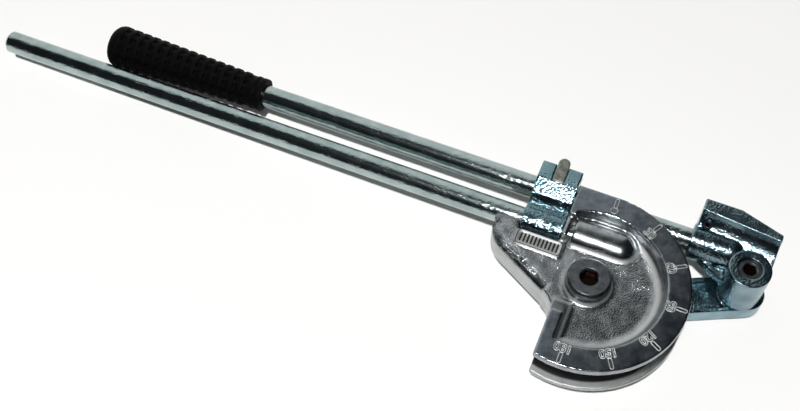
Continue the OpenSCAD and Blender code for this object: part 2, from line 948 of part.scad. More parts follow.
// Side view of the hook when it is closed, from the handle's axis: the barrel,
// the web and the saddle
module hook_profile() {
    difference() {
        union() {
            circle(r = barrel_r);
            saddle_profile();
            polygon([
                [0, -over], [hook_span - saddle_in_r, -over], [neck_far + over, neck_rise + neck_tilt],
                [neck_far, neck_rise + neck_tilt], [neck_near, neck_rise], [0, neck_rise]
            ]);
        }
        circle(r = handle_d / 2 + run_room);
        translate([hook_span, 0])
            circle(r = saddle_in_r);
    }
}

// Puts a side view drawn from the handle's axis into the folded tool
module at_hook(x0, length) {
    translate([x0, handle_y, tube_z])
        rotate([hook_rest, 0, 0])
            rotate([90, 0, 90])
                linear_extrude(length)
                    children();
}

module tongue_slot() {
    at_hook(hook_mid_x - slot_w / 2, slot_w)
        translate([slot_v, lip_rise - over])
            square([2 * ear_reach, saddle_out_r]);
}

module tongue_pin_bore(room) {
    at_hook(hook_x0 - over, hook_l + 2 * over)
        translate([tongue_pin_v, tongue_pin_w])
            circle(d = tongue_pin_d + 2 * room);
}

module hook() {
    color("cadetblue")
        difference() {
            union() {
                at_hook(hook_x0, hook_l)
                    hook_profile();
                at_hook(hook_x0, hook_l)
                    ear_profile();
            }
            tongue_slot();
            tongue_pin_bore(press_room);
        }
}

// A flat finger with a round end, held between the ears
module hook_tongue() {
    tongue_w = slot_w - 2 * tongue_gap;
    tongue_v = hook_span + ear_reach + tongue_out - tongue_w / 2;
    tongue_top = saddle_out_r - ear_drop + tongue_proud;
    color("gray")
        difference() {
            intersection() {
                at_hook(hook_mid_x - tongue_w / 2, tongue_w)
                    difference() {
                        translate([slot_v + tongue_gap, lip_rise + tongue_gap])
                            square([2 * ear_reach, tongue_top - lip_rise]);
                        translate([hook_span, 0])
                            circle(r = saddle_in_r + tongue_gap);
                    }
                translate([0, handle_y, tube_z])
                    rotate([hook_rest, 0, 0])
                        linear_extrude(2 * saddle_out_r) {
                            translate([hook_mid_x, tongue_v])
                                circle(d = tongue_w);
                            translate([hook_mid_x - tongue_w / 2, hook_span])
                                square([tongue_w, tongue_v - hook_span]);
                        }
            }
            tongue_pin_bore(press_room);
        }
}

module tongue_pin() {
    color("lightgray")
        at_hook(hook_x0 + over / 2, hook_l - over)
            translate([tongue_pin_v, tongue_pin_w])
                circle(d = tongue_pin_d);
}

former();
fixed_handle();
handle_lock_pin();
pivot_bush();
link();
pivot_bolt();
pivot_washer();
pivot_disc_spring();
pivot_nut();
block_screw();
block_washer();
block_disc_spring();
block_nut();
shoe_block();
block_bush();
lever_rod();
lever_roll_pin();
grip();
hook();
hook_tongue();
tongue_pin();
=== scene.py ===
"""Looks of a lever tube bender, folded for storage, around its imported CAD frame."""

import json
import math

import bpy
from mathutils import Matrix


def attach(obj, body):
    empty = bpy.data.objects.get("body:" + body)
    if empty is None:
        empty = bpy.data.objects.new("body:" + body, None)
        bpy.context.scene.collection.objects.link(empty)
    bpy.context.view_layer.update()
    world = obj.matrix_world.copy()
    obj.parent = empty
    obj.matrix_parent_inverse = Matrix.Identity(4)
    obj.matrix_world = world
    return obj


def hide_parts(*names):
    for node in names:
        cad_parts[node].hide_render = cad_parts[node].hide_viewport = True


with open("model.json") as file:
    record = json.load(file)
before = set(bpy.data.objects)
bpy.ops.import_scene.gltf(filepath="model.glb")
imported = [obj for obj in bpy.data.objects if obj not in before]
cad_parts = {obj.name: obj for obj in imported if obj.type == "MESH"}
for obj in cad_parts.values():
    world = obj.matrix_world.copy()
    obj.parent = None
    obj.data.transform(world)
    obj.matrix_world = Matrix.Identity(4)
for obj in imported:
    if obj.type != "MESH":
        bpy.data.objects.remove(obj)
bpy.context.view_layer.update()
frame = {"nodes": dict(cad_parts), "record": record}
nodes = frame["nodes"]
bodies = frame["record"]["behaviour"]["bodies"]
body_of = {node: body for body, members in bodies.items() for node in members}
slot_of = {sub["node"]: sub["material_slot"] for sub in frame["record"]["subparts"]}

# Sizes are in millimetres, as in the part's source, and become metres where Blender takes them
MM = 0.001
BAND_Z = 33.6  # top of the former's flat band


# Materials


def linear(code):
    """An sRGB hex colour as linear RGBA."""
    parts = [int(code[i : i + 2], 16) / 255 for i in (1, 3, 5)]
    return [p / 12.92 if p <= 0.04045 else ((p + 0.055) / 1.055) ** 2.4 for p in parts] + [1.0]


def put(tree, kind, inputs=None, stops=(), **settings):
    """Adds a node, sets its settings and colour stops, and fills or links its inputs."""
    node = tree.nodes.new(kind)
    for key, value in settings.items():
        setattr(node, key, value)
    for key, value in (inputs or {}).items():
        if isinstance(value, bpy.types.NodeSocket):
            tree.links.new(value, node.inputs[key])
        else:
            node.inputs[key].default_value = value
    for i, (position, code) in enumerate(stops):
        if i >= len(node.color_ramp.elements):
            node.color_ramp.elements.new(position)
        node.color_ramp.elements[i].position = position
        node.color_ramp.elements[i].color = linear(code)
    return node


def start(name, **values):
    """A new material with its tree, shader and Object coordinates."""
    mat = bpy.data.materials.new(name)
    mat.use_nodes = True
    tree = mat.node_tree
    shader = tree.nodes["Principled BSDF"]
    for key, value in values.items():
        shader.inputs[key].default_value = value
    place = put(tree, "ShaderNodeTexCoord").outputs["Object"]
    return mat, tree, shader, place


RAMP_TOP = 40.0  # height at which the former's ramps end


def by_height(*stops):
    """Colour stops of a ramp over the former's height, from heights in millimetres."""
    return [(z / RAMP_TOP, code) for z, code in stops]


def groove_grime(tree, axes, level, radius):
    """A mask of painted shadow deep in the groove, where the upper flange shades the lower lip: a ring below
    its middle, past the lead.
    """
    painted_groove_shade = put(
        tree,
        "ShaderNodeMapRange",
        {"Value": radius, "From Min": 46.4 * MM, "From Max": 45.4 * MM, "To Max": 0.92},
    ).outputs["Result"]
    lower = put(
        tree,
        "ShaderNodeValToRGB",
        {"Fac": level},
        stops=by_height((13.12, "#000000"), (13.52, "#ffffff"), (20.0, "#ffffff"), (22.0, "#000000")),
    ).outputs["Color"]
    past_lead = put(
        tree,
        "ShaderNodeMapRange",
        {"Value": axes["X"], "From Min": -14.0 * MM, "From Max": -12.0 * MM},
    ).outputs["Result"]
    for mask in (lower, past_lead):
        painted_groove_shade = put(tree, "ShaderNodeMath", {0: painted_groove_shade, 1: mask}, operation="MULTIPLY").outputs["Value"]
    return painted_groove_shade


def off_bulge(tree, axes, radius):
    """A mask that leaves out the polished bulge, which lies past 15 mm on Y, inside the recess's wall."""
    inside = put(
        tree,
        "ShaderNodeMapRange",
        {"Value": radius, "From Min": 31.0 * MM, "From Max": 34.0 * MM, "To Min": 1.0, "To Max": 0.0},
    ).outputs["Result"]
    past_hub = put(
        tree,
        "ShaderNodeMapRange",
        {"Value": axes["Y"], "From Min": 14.0 * MM, "From Max": 15.5 * MM},
    ).outputs["Result"]
    bulge = put(tree, "ShaderNodeMath", {0: inside, 1: past_hub}, operation="MULTIPLY").outputs["Value"]
    return put(tree, "ShaderNodeMath", {0: 1.0, 1: bulge}, operation="SUBTRACT").outputs["Value"]


def cast_aluminium():
    """Die-cast aluminium: a speckled skin on the low floor, smooth walls and hub, sides and fillets painted
    pale as reflection and highlight, a painted shadow deep in the groove, and a milled band that mirrors the
    dark room in faint blotches."""
    mat, tree, shader, place = start("die_cast_aluminium", Metallic=1.0)
    axes = put(tree, "ShaderNodeSeparateXYZ", {"Vector": place}).outputs
    high = axes["Z"]
    level = put(
        tree, "ShaderNodeMath", {0: high, 1: 1 / (RAMP_TOP * MM)}, operation="MULTIPLY"
    ).outputs["Value"]
    ring = put(tree, "ShaderNodeVectorMath", {0: place, 1: (1.0, 1.0, 0.0)}, operation="MULTIPLY")
    radius = put(
        tree, "ShaderNodeVectorMath", {0: ring.outputs["Vector"]}, operation="LENGTH"
    ).outputs["Value"]

    # Masks by height: the rough floor with its flank, the fillets round it, and the milled band
    floor = put(
        tree,
        "ShaderNodeValToRGB",
        {"Fac": level},
        stops=by_height((23.4, "#000000"), (24.0, "#ffffff"), (27.0, "#ffffff"), (27.6, "#000000")),
    ).outputs["Color"]
    # The fillets round the floor, which get a painted pale highlight and more roughness
    foot = put(
        tree,
        "ShaderNodeValToRGB",
        {"Fac": level},
        stops=by_height((26.8, "#000000"), (27.32, "#d8d8d8"), (28.0, "#d8d8d8"), (28.88, "#000000")),
    ).outputs["Color"]
    milled = put(
        tree,
        "ShaderNodeMapRange",
        {"Value": high, "From Min": (BAND_Z - 0.35) * MM, "From Max": (BAND_Z - 0.1) * MM},
    ).outputs["Result"]

    # Creases 0.8 mm apart, blotches of 6 mm, and grinding lines 0.3 mm high and 5 mm long
    noise = put(
        tree,
        "ShaderNodeTexNoise",
        {"Vector": place, "Scale": 1200.0, "Detail": 1.0, "Roughness": 0.5},
    ).outputs["Fac"]
    crease = put(
        tree,
        "ShaderNodeMapRange",
        {"Value": noise, "From Min": 0.42, "From Max": 0.58},
        interpolation_type="SMOOTHSTEP",
    ).outputs["Result"]
    blotch = put(
        tree,
        "ShaderNodeTexNoise",
        {"Vector": place, "Scale": 160.0, "Detail": 5.0, "Roughness": 0.7},
    ).outputs["Fac"]
    flat = put(tree, "ShaderNodeMapping", {"Vector": place, "Scale": (200.0, 200.0, 3300.0)})
    lines = put(
        tree,
        "ShaderNodeTexNoise",
        {"Vector": flat.outputs["Vector"], "Scale": 1.0, "Detail": 2.0},
    ).outputs["Fac"]

    # The sides and the groove are painted paler as a reflection of the pale floor, and the size plate and the
    # fillets on the floor are painted pale as highlight
    side_reflection_paint = put(
        tree,
        "ShaderNodeMapRange",
        {"Value": high, "From Min": 22.4 * MM, "From Max": 23.2 * MM, "To Min": 0.4, "To Max": 0.0},
    ).outputs["Result"]
    pale = put(tree, "ShaderNodeMath", {0: side_reflection_paint, 1: foot}, operation="ADD").outputs["Value"]
    skin = put(
        tree,
        "ShaderNodeValToRGB",
        {"Fac": blotch},
        stops=((0.35, "#7f8487"), (0.65, "#aaaeb0")),
    ).outputs["Color"]
    band = put(
        tree,
        "ShaderNodeValToRGB",
        {"Fac": blotch},
        stops=((0.35, "#737c85"), (0.65, "#9aa2a9")),
    ).outputs["Color"]
    # Painted shadow: the groove's deep ring is painted near black, as the shade under the upper flange
    painted_groove_shade = groove_grime(tree, axes, level, radius)
    colour = skin
    # Mixes in the painted pale reflection and highlight, the painted groove shadow and the milled band's own
    # tone
    for mask, over in ((pale, linear("#dcddda")), (painted_groove_shade, linear("#1d1c1b")), (milled, band)):
        colour = put(
            tree, "ShaderNodeMixRGB", {"Fac": mask, "Color1": colour, "Color2": over}
        ).outputs["Color"]

    # The sides, the groove, the fillets and the recess's walls are duller than the floor, bulge and band
    sheen = put(
        tree, "ShaderNodeMapRange", {"Value": blotch, "To Min": 0.15, "To Max": 0.27}
    ).outputs["Result"]
    side = put(
        tree,
        "ShaderNodeValToRGB",
        {"Fac": level},
        stops=by_height(
            (22.4, "#8a8a8a"),
            (23.2, "#000000"),
            (27.6, "#000000"),
            (28.8, "#606060"),
            (32.8, "#606060"),
            (33.4, "#000000"),
        ),
    ).outputs["Color"]
    walls = put(
        tree,
        "ShaderNodeMath",
        {0: side, 1: off_bulge(tree, axes, radius), 2: sheen},
        operation="MULTIPLY_ADD",
    ).outputs["Value"]
    rough = put(
        tree, "ShaderNodeMath", {0: foot, 1: 0.45, 2: walls}, operation="MULTIPLY_ADD"
    ).outputs["Value"]

    # The creases come in patches, and are shallower on the near part of the floor
    patchy = put(
        tree,
        "ShaderNodeMapRange",
        {"Value": blotch, "From Min": 0.35, "From Max": 0.65, "To Min": 0.22, "To Max": 0.42},
    ).outputs["Result"]
    far_part = put(
        tree,
        "ShaderNodeMapRange",
        {"Value": axes["Y"], "From Min": -9.0 * MM, "From Max": 3.0 * MM, "To Min": 0.4, "To Max": 1.15},
    ).outputs["Result"]
    depth = floor
    for mask in (far_part, patchy):
        depth = put(tree, "ShaderNodeMath", {0: depth, 1: mask}, operation="MULTIPLY").outputs["Value"]
    fine = put(tree, "ShaderNodeBump", {"Height": lines, "Strength": 0.12, "Distance": 0.2 * MM})
    bump = put(
        tree,
        "ShaderNodeBump",
        {"Height": crease, "Strength": depth, "Distance": 0.3 * MM, "Normal": fine.outputs["Normal"]},
    )
    tree.links.new(colour, shader.inputs["Base Color"])
    tree.links.new(rough, shader.inputs["Roughness"])
    tree.links.new(bump.outputs["Normal"], shader.inputs["Normal"])
    return mat


def zinc(name, low, high, rough, pits=900.0, strength=1.0, streak=1.0, detail=1.0, depth=0.3, plain_y=None):
    """Blue-passivated zinc plate: a cool mirror broken up by fine pits and draw lines, in patches.
    The pits are 1.1 mm across unless told otherwise, and fade out past plain_y."""
    mat, tree, shader, place = start(name, Metallic=1.0, Roughness=rough)
    drawn = put(tree, "ShaderNodeMapping", {"Vector": place, "Scale": (streak, 1.0, 1.0)})
    grain = put(
        tree,
        "ShaderNodeTexNoise",
        {"Vector": drawn.outputs["Vector"], "Scale": pits, "Detail": detail, "Roughness": 0.62},
    ).outputs["Fac"]
    # Cloudy tint, 9 mm across
    cloud = put(
        tree, "ShaderNodeTexNoise", {"Vector": place, "Scale": 110.0, "Detail": 3.0}
    ).outputs["Fac"]
    tint = put(tree, "ShaderNodeValToRGB", {"Fac": cloud}, stops=((0.35, low), (0.65, high)))
    edge = put(tree, "ShaderNodeBevel", {"Radius": 0.35 * MM}, samples=4).outputs["Normal"]
    patchy = put(
        tree,
        "ShaderNodeMapRange",
        {"Value": cloud, "From Min": 0.42, "From Max": 0.58, "To Min": 0.4 * strength, "To Max": strength},
    ).outputs["Result"]
    if plain_y:
        axes = put(tree, "ShaderNodeSeparateXYZ", {"Vector": place}).outputs
        ends = {"From Min": plain_y * MM, "From Max": (plain_y + 2.0) * MM, "To Min": 1.0, "To Max": 0.1}
        fade = put(tree, "ShaderNodeMapRange", {"Value": axes["Y"], **ends}).outputs["Result"]
        patchy = put(tree, "ShaderNodeMath", {0: patchy, 1: fade}, operation="MULTIPLY").outputs["Value"]
    bump = put(
        tree,
        "ShaderNodeBump",
        {"Height": grain, "Strength": patchy, "Distance": depth * MM, "Normal": edge},
    )
    tree.links.new(tint.outputs["Color"], shader.inputs["Base Color"])
    tree.links.new(bump.outputs["Normal"], shader.inputs["Normal"])
    return mat


def worn_metal(name, low, high, rough, socket=None, grain=0.12):
    """Bare machined metal: a soft sheen with faint blotches of oil, 3 mm across, and rust in a screw's
    socket, which lies at (x, y, top, radius)."""
    mat, tree, shader, place = start(name, Metallic=1.0, Roughness=rough)
    blotch = put(
        tree,
        "ShaderNodeTexNoise",
        {"Vector": place, "Scale": 330.0, "Detail": 5.0, "Roughness": 0.7},
    ).outputs["Fac"]
    tint = put(
        tree, "ShaderNodeValToRGB", {"Fac": blotch}, stops=((0.35, low), (0.65, high))
    ).outputs["Color"]
    edge = put(tree, "ShaderNodeBevel", {"Radius": 0.4 * MM}, samples=4).outputs["Normal"]
    bump = put(
        tree,
        "ShaderNodeBump",
        {"Height": blotch, "Strength": grain, "Distance": 0.3 * MM, "Normal": edge},
    )
    if socket:
        x, y, top, radius = socket
        axes = put(tree, "ShaderNodeSeparateXYZ", {"Vector": place}).outputs
        ends = {"From Min": (top - 1.0) * MM, "From Max": (top - 0.6) * MM, "To Min": 1.0, "To Max": 0.0}
        deep = put(tree, "ShaderNodeMapRange", {"Value": axes["Z"], **ends}).outputs["Result"]
        # Only the XY distance to the screw's axis counts
        ring = put(tree, "ShaderNodeVectorMath", {0: place, 1: (1.0, 1.0, 0.0)}, operation="MULTIPLY")
        away = put(
            tree,
            "ShaderNodeVectorMath",
            {0: ring.outputs["Vector"], 1: (x * MM, y * MM, 0.0)},
            operation="DISTANCE",
        ).outputs["Value"]
        inside = put(
            tree, "ShaderNodeMath", {0: away, 1: radius * MM}, operation="LESS_THAN"
        ).outputs["Value"]
        rust = put(tree, "ShaderNodeMath", {0: inside, 1: deep}, operation="MULTIPLY").outputs["Value"]
        tint = put(
            tree, "ShaderNodeMixRGB", {"Fac": rust, "Color1": tint, "Color2": linear("#241813")}
        ).outputs["Color"]
    tree.links.new(tint, shader.inputs["Base Color"])
    tree.links.new(bump.outputs["Normal"], shader.inputs["Normal"])
    return mat


def rubber():
    """Moulded rubber: near black, with a dull sheen on the ribs and a fine matt grain of 0.4 mm."""
    mat, tree, shader, place = start("moulded_rubber", Roughness=0.6)
    shader.inputs["Specular IOR Level"].default_value = 0.07
    grain = put(
        tree, "ShaderNodeTexNoise", {"Vector": place, "Scale": 2500.0, "Detail": 2.0}
    ).outputs["Fac"]
    colour = put(tree, "ShaderNodeValToRGB", {"Fac": grain}, stops=((0.3, "#040404"), (0.7, "#080809")))
    bump = put(tree, "ShaderNodeBump", {"Height": grain, "Strength": 0.2, "Distance": 0.1 * MM})
    tree.links.new(colour.outputs["Color"], shader.inputs["Base Color"])
    tree.links.new(bump.outputs["Normal"], shader.inputs["Normal"])
    return mat


# Where the screws' hex sockets are: x, y, top and radius
BOLT_SOCKET = (0.0, 0.0, 34.1, 4.8)
SCREW_SOCKET = (70.724, 34.75, 32.6, 3.7)
EARS_Y = 47.0  # where the hook's plain ears begin

FINISH = {
    "cast_aluminium": cast_aluminium(),
    # Drawn rod: pits of 1.2 mm, drawn out to 2.7 mm, so that highlights run along it in streaks
    "zinc_rod": zinc(
        "zinc_on_drawn_rod", "#98a8a8", "#aebcbb", 0.17, pits=820.0, strength=0.9, streak=0.45, detail=2.0
    ),
    # Forging: pits that are the same all ways, so that highlights break up into specks
    "zinc_forging": zinc("zinc_on_forging", "#6e8b95", "#85a1a9", 0.16),
    # Steel with a dark film of oil, dull steel with grey scale, and the brown gold of plain bearings
    "dark_steel": worn_metal("oiled_steel", "#4b4f53", "#6b7074", 0.34),
    "grey_steel": worn_metal("scaled_steel", "#72756b", "#aeb1a6", 0.42, grain=0.9),
    "bronze": worn_metal("bearing_bronze", "#8f6f3c", "#b08c50", 0.35),
    "grip_rubber": rubber(),
    # Nodes with a finish of their own: the hook is peened all over but for its ears, the shoe is blasted and
    # duller, and the screws have rust in their sockets
    "hook": zinc("zinc_on_peened_forging", "#6e8b95", "#85a1a9", 0.15, depth=0.6, plain_y=EARS_Y),
    "shoe_block": zinc("zinc_on_blasted_forging", "#6b828b", "#839aa1", 0.2),
    "pivot_bolt": worn_metal("pivot_bolt_steel", "#565a5e", "#7d8286", 0.32, BOLT_SOCKET),
    "block_screw": worn_metal("block_screw_steel", "#565a5e", "#7d8286", 0.32, SCREW_SOCKET),
}


def finish(node):
    """A node's own finish, or else that of its material slot."""
    return FINISH.get(node, FINISH[slot_of[node]])


for name, node in nodes.items():
    node.data.materials.clear()
    node.data.materials.append(finish(name))


# Modelling


def only(piece):
    """Makes one piece the selected and active object."""
    bpy.ops.object.select_all(action="DESELECT")
    piece.select_set(True)
    bpy.context.view_layer.objects.active = piece


def add(primitive, **settings):
    """Adds a primitive with nothing else selected."""
    bpy.ops.object.select_all(action="DESELECT")
    primitive(**settings)
    return bpy.context.object


def apply(piece, kind, **settings):
    """Adds a modifier and applies it."""
    only(piece)
    modifier = piece.modifiers.new("step", kind)
    for key, value in settings.items():
        setattr(modifier, key, value)
    bpy.ops.object.modifier_apply(modifier=modifier.name)


def rides(piece, name, node, material, swap=True):
    """Names a piece, gives it its finish and binds it to the body of a CAD node."""
    piece.name = name
    piece.data.name = name
    piece.data.materials.clear()
    piece.data.materials.append(material)
    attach(piece, body_of[node])
    if swap:
        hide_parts(node)


def soften(node, name, voxel, rounds, trim=None):
    """Replaces a CAD node by a copy with the rounded edges and fillets of a casting or forging."""
    piece = nodes[node].copy()
    piece.data = nodes[node].data.copy()
    bpy.context.scene.collection.objects.link(piece)
    only(piece)
    bpy.ops.object.mode_set(mode="EDIT")
    bpy.ops.mesh.select_all(action="SELECT")
    bpy.ops.mesh.customdata_custom_splitnormals_clear()
    bpy.ops.mesh.remove_doubles(threshold=0.002 * MM)
    bpy.ops.object.mode_set(mode="OBJECT")
    if trim:
        trim(piece)
    apply(piece, "REMESH", mode="VOXEL", voxel_size=voxel * MM, adaptivity=0)
    apply(piece, "SMOOTH", factor=0.5, iterations=rounds)
    bpy.ops.object.shade_smooth()
    rides(piece, name, node, finish(node))


def join(pieces):
    """Joins pieces to the first one."""
    only(pieces[0])
    for piece in pieces[1:]:
        piece.select_set(True)
    bpy.ops.object.join()
    return pieces[0]


def block(x, y, z, tilt=0.0):
    """A box between two values on each axis, tilted about its own X axis."""
    return add(
        bpy.ops.mesh.primitive_cube_add,
        size=1,
        location=[sum(side) / 2 * MM for side in (x, y, z)],
        rotation=(tilt, 0, 0),
        scale=[(side[1] - side[0]) * MM for side in (x, y, z)],
    )


def drum(radius, z):
    """An upright cylinder about the pivot, between two heights."""
    return add(
        bpy.ops.mesh.primitive_cylinder_add,
        vertices=144,
        radius=radius * MM,
        depth=(z[1] - z[0]) * MM,
        location=(0, 0, sum(z) / 2 * MM),
    )


def carve(piece, tool, operation="DIFFERENCE"):
    """Cuts a piece with another one, or keeps what they share, and drops the tool."""
    apply(piece, "BOOLEAN", operation=operation, object=tool)
    bpy.data.objects.remove(tool)


# The former's recess and the bulge over the handle's socket, which ends in half a ball
FLOOR_Z, RECESS_R = 26.6, 37.5
BULGE_R, BULGE_L, BULGE_END = 10.5, 40.0, 8.7
BULGE_Y, BULGE_Z = 26.4, 21.6
# Where the source's wall is straight and the round one goes on: from the hook's bay to the bulge's end
BEHIND_BULGE = (-16.5, 26.0), (28.0, 40.0), (20.0, 50.0)
# The hollow foot of the round wall, which stops at the lead
HOLLOW = 1.5
PAST_LEAD = (-4.3, 45.0), (-45.0, 45.0), (20.0, 40.0)


def bowl():
    """The recess as a solid: a drum whose foot is rounded up to the band."""
    piece = drum(RECESS_R, (FLOOR_Z, FLOOR_Z + 40.0))
    apply(piece, "BEVEL", width=(BAND_Z - FLOOR_Z) * MM, segments=8, angle_limit=math.radians(60))
    return piece


def trim_former(piece):
    """Carries the recess's round wall on behind the bulge and gives it one wide hollow foot."""
    space = bowl()
    carve(space, block(*BEHIND_BULGE), "INTERSECT")
    barrel = add(
        bpy.ops.mesh.primitive_cylinder_add,
        vertices=96,
        radius=BULGE_R * MM,
        depth=BULGE_L * MM,
        location=((BULGE_END - BULGE_L / 2) * MM, BULGE_Y * MM, BULGE_Z * MM),
        rotation=(0, math.pi / 2, 0),
    )
    carve(space, barrel)
    ball = add(
        bpy.ops.mesh.primitive_uv_sphere_add,
        segments=48,
        ring_count=24,
        radius=BULGE_R * MM,
        location=(BULGE_END * MM, BULGE_Y * MM, BULGE_Z * MM),
    )
    carve(space, ball)
    carve(piece, space)
    hollow = drum(RECESS_R + HOLLOW, (FLOOR_Z - HOLLOW, BAND_Z - 0.2))
    carve(hollow, bowl())
    carve(hollow, block(*PAST_LEAD), "INTERSECT")
    only(hollow)
    bpy.ops.object.transform_apply(location=True)
    join([piece, hollow])


# The hook's flats: slope in degrees, distance from the saddle's axis, and length down and up the slope
HOOK_FLATS = ((24.5, 10.6, 4.6, 6.0), (48.0, 11.07, 4.8, 4.8))
SADDLE_Y, SADDLE_Z = 44.9, 23.54
HOOK_X = (-60.0, 0.0)  # all along the hook
WEB_Y, WEB_Z = (30.2, 35.0), (27.9, 43.0)  # what comes off the web below the flats
WASTE = 6.0  # thickness that comes off the saddle


def trim_hook(piece):
    """Forges two flats on the saddle's near side, the upper one longer, and levels the web below them."""
    for slope, flat, down, up in HOOK_FLATS:
        tilt = math.radians(slope)
        out = flat + WASTE / 2
        along = (up - down) / 2
        y = SADDLE_Y - out * math.sin(tilt) + along * math.cos(tilt)
        z = SADDLE_Z + out * math.cos(tilt) + along * math.sin(tilt)
        half = (up + down) / 2
        carve(piece, block(HOOK_X, (y - half, y + half), (z - WASTE / 2, z + WASTE / 2), tilt))
    carve(piece, block(HOOK_X, WEB_Y, WEB_Z))


soften("former", "former_casting", 0.6, 5, trim_former)
soften("shoe_block", "shoe_forging", 0.36, 9)
soften("hook", "hook_forging", 0.35, 4, trim_hook)
soften("hook_tongue", "tongue_forging", 0.3, 5)
soften("link", "link_forging", 0.5, 5)


# Degree marks: raised outlines on the band

MARK_WIRE = 0.29  # radius of the raised outline
STEM_FROM, STEM_TO, STEM_W = 42.9, 48.4, 1.7
DIGIT_R, DIGIT_SIZE, DIGIT_BOLD = 38.3, 6.2, 0.16
ZERO_R = 39.4


def wire(piece):
    """Turns the outline of a curve or text into a raised mesh outline."""
    only(piece)
    piece.data.bevel_depth = MARK_WIRE * MM
    piece.data.bevel_resolution = 1
    bpy.ops.object.convert(target="MESH")


def loop(y_low, y_high, width):
    """A closed outline with round ends, upright along Y."""
    piece = add(bpy.ops.mesh.primitive_circle_add, vertices=20, radius=width / 2 * MM)
    bpy.ops.object.mode_set(mode="EDIT")
    bpy.ops.mesh.select_all(action="DESELECT")
    bpy.ops.object.mode_set(mode="OBJECT")
    for vertex in piece.data.vertices:
        vertex.select = vertex.co.y > 0
    bpy.ops.object.mode_set(mode="EDIT")
    bpy.ops.transform.translate(value=(0, (y_high - y_low - width) * MM, 0))
    bpy.ops.mesh.select_all(action="SELECT")
    bpy.ops.transform.translate(value=(0, (y_low + width / 2) * MM, 0))
    bpy.ops.object.mode_set(mode="OBJECT")
    bpy.ops.object.convert(target="CURVE")
    wire(piece)
    return piece


def digits(text):
    """The outline of a number, its foot towards the pivot."""
    piece = add(bpy.ops.object.text_add)
    piece.data.body = text
    piece.data.size = DIGIT_SIZE * MM
    piece.data.offset = DIGIT_BOLD * MM
    piece.data.align_x = "CENTER"
    piece.data.space_character = 0.92
    piece.data.resolution_u = 3
    piece.data.fill_mode = "NONE"
    wire(piece)
    piece.location.y = DIGIT_R * MM
    bpy.ops.object.transform_apply(location=True)
    return piece


marks = []
for degree in range(0, 181, 30):
    figure = digits(str(degree)) if degree else loop(ZERO_R, STEM_FROM, STEM_FROM - ZERO_R)
    mark = join([loop(STEM_FROM, STEM_TO, STEM_W), figure])
    mark.location.z = BAND_Z * MM
    mark.rotation_euler.z = -math.radians(degree)
    bpy.ops.object.transform_apply(location=True, rotation=True)
    marks.append(mark)
# Bare aluminium brightened by wear and painted pale as the highlight on its raised edges, so that the marks
# stand out pale
bright = worn_metal("raised_bare_aluminium", "#c6c8c8", "#e6e7e6", 0.5)
rides(join(marks), "degree_marks", "former", bright, swap=False)


# A plain row of raised strokes with a border on the size plate, without words

PLATE_X, PLATE_Y = (-39.0, -20.0), (10.6, 15.4)
STROKES, STROKE_W, STROKE_Z = 11, 0.45, 27.1
BORDER_L, BORDER_W, BORDER_CORNER, BORDER_Z = 23.2, 8.2, 1.8, 27.5

strokes = []
for i in range(STROKES):
    stroke = loop(*PLATE_Y, STROKE_W)
    share = i / (STROKES - 1)
    stroke.location = ((PLATE_X[0] + share * (PLATE_X[1] - PLATE_X[0])) * MM, 0, STROKE_Z * MM)
    only(stroke)
    bpy.ops.object.transform_apply(location=True)
    strokes.append(stroke)
border = add(
    bpy.ops.mesh.primitive_plane_add,
    size=1,
    location=(sum(PLATE_X) / 2 * MM, sum(PLATE_Y) / 2 * MM, BORDER_Z * MM),
)
bpy.ops.object.mode_set(mode="EDIT")
bpy.ops.transform.resize(value=(BORDER_L * MM, BORDER_W * MM, 1))
bpy.ops.mesh.bevel(offset=BORDER_CORNER * MM, segments=4, affect="VERTICES")
bpy.ops.mesh.delete(type="ONLY_FACE")
bpy.ops.object.mode_set(mode="OBJECT")
bpy.ops.object.convert(target="CURVE")
wire(border)
bpy.ops.object.transform_apply(location=True)
# Aluminium painted dark as shade on the raised strokes and border, so that the strokes stand out dark
stroke_shade_finish = worn_metal("shade_painted_aluminium", "#34322f", "#55524e", 0.5)
rides(join(strokes + [border]), "plate_strokes", "former", stroke_shade_finish, swap=False)


# Rubber grip with rings of pockets

GRIP_X, GRIP_L = -293.0, 94.5
AXIS_Y, AXIS_Z = 47.0, 21.6
END_R, MOUTH_R = 11.9, 9.0
BORE_R, BORE_L = 6.03, 4.0
NOSE, COLLAR = 5.0, 8.0  # lengths of the round end and of the collar at the mouth
NOSE_ANGLES = (0.25, 0.6, 1.0, 1.3, 1.57)
RINGS, AROUND = 14, 48
POCKET, CHANNEL = 1.0, 0.6  # depths
PITCH = (GRIP_L - NOSE - COLLAR) / RINGS
# Rows of points and how deep they lie: along one ring in shares of its pitch, and along the collar
RING_ROWS = ((0.0, 0.0), (0.42, 0.0), (0.48, CHANNEL), (0.94, CHANNEL))
COLLAR_ROWS = ((0.6, 0.5), (1.6, 0.5), (2.0, 0.0), (3.2, 0.0), (3.6, 0.5), (4.6, 0.5), (5.0, 0.0), (8.0, 0.0))
POCKET_AT = 0.71  # the middle of a ring's channel


def grip_rows():
    """Each row of points on the grip, by its distance from the round end and its radius."""
    body = GRIP_L - NOSE
    taper = (MOUTH_R - END_R) / body
    rows = [(NOSE * (1 - math.cos(a)), END_R - NOSE * (1 - math.sin(a))) for a in NOSE_ANGLES]
    for i in range(RINGS):
        for share, step in RING_ROWS:
            along = NOSE + (i + share) * PITCH
            rows.append((along, END_R + taper * (along - NOSE) - step))
    for along, step in COLLAR_ROWS:
        rows.append((GRIP_L - COLLAR + along, END_R + taper * (body - COLLAR + along) - step))
    return rows + [(GRIP_L, BORE_R), (GRIP_L - BORE_L, BORE_R)]


